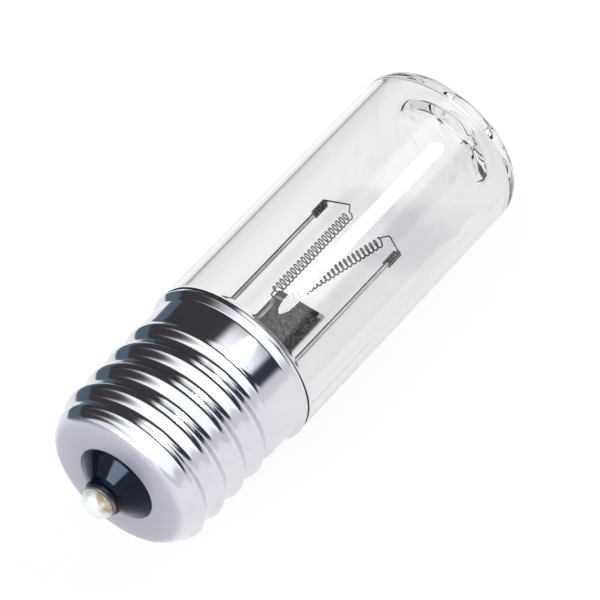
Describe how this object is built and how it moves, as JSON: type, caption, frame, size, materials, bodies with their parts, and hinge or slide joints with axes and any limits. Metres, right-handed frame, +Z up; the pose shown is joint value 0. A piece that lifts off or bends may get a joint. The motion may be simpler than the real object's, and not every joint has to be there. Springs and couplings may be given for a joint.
{
  "type": "germicidal uv bulb",
  "caption": "Clear tubular germicidal bulb with a nickel-plated E17 screw base, a V-shaped coiled filament, lead posts and a getter strip inside the glass.",
  "frame": {"origin": "on the bulb's axis, in the plane of the screw shell's shoulder", "axes": "+X along the axis towards the glass, +Z up as the bulb lies on its side, the leads' plane level"},
  "size_m": [0.0557, 0.0172, 0.0172],
  "materials": {
    "nickel_plate": "bright nickel plate",
    "black_glass": "gloss black",
    "brass_plate": "tinned",
    "solder": "soft solder, satin",
    "clear_glass": "clear, gloss",
    "lead_metal": "drawn wire, satin",
    "seal_metal": "copper clad",
    "copper_wire": "bare copper",
    "cement": "baked cement, matt",
    "getter_face": "sintered powder, matt",
    "tungsten": "drawn wire",
    "mercury": "liquid metal"
  },
  "bodies": {
    "root": {"screw_shell": "nickel_plate", "insulator": "black_glass", "contact_eyelet": "brass_plate", "contact_solder": "solder", "glass_envelope": "clear_glass", "stem": "clear_glass", "left_lead_post": "lead_metal", "right_lead_post": "lead_metal", "left_seal_wire": "seal_metal", "right_seal_wire": "seal_metal", "centre_lead_wire": "copper_wire", "side_lead_wire": "copper_wire", "side_solder": "solder", "basing_cement": "cement", "support_wire": "lead_metal", "getter_strip": "getter_face", "filament": "tungsten", "mercury_bead": "mercury"}
  },
  "joints": []
}
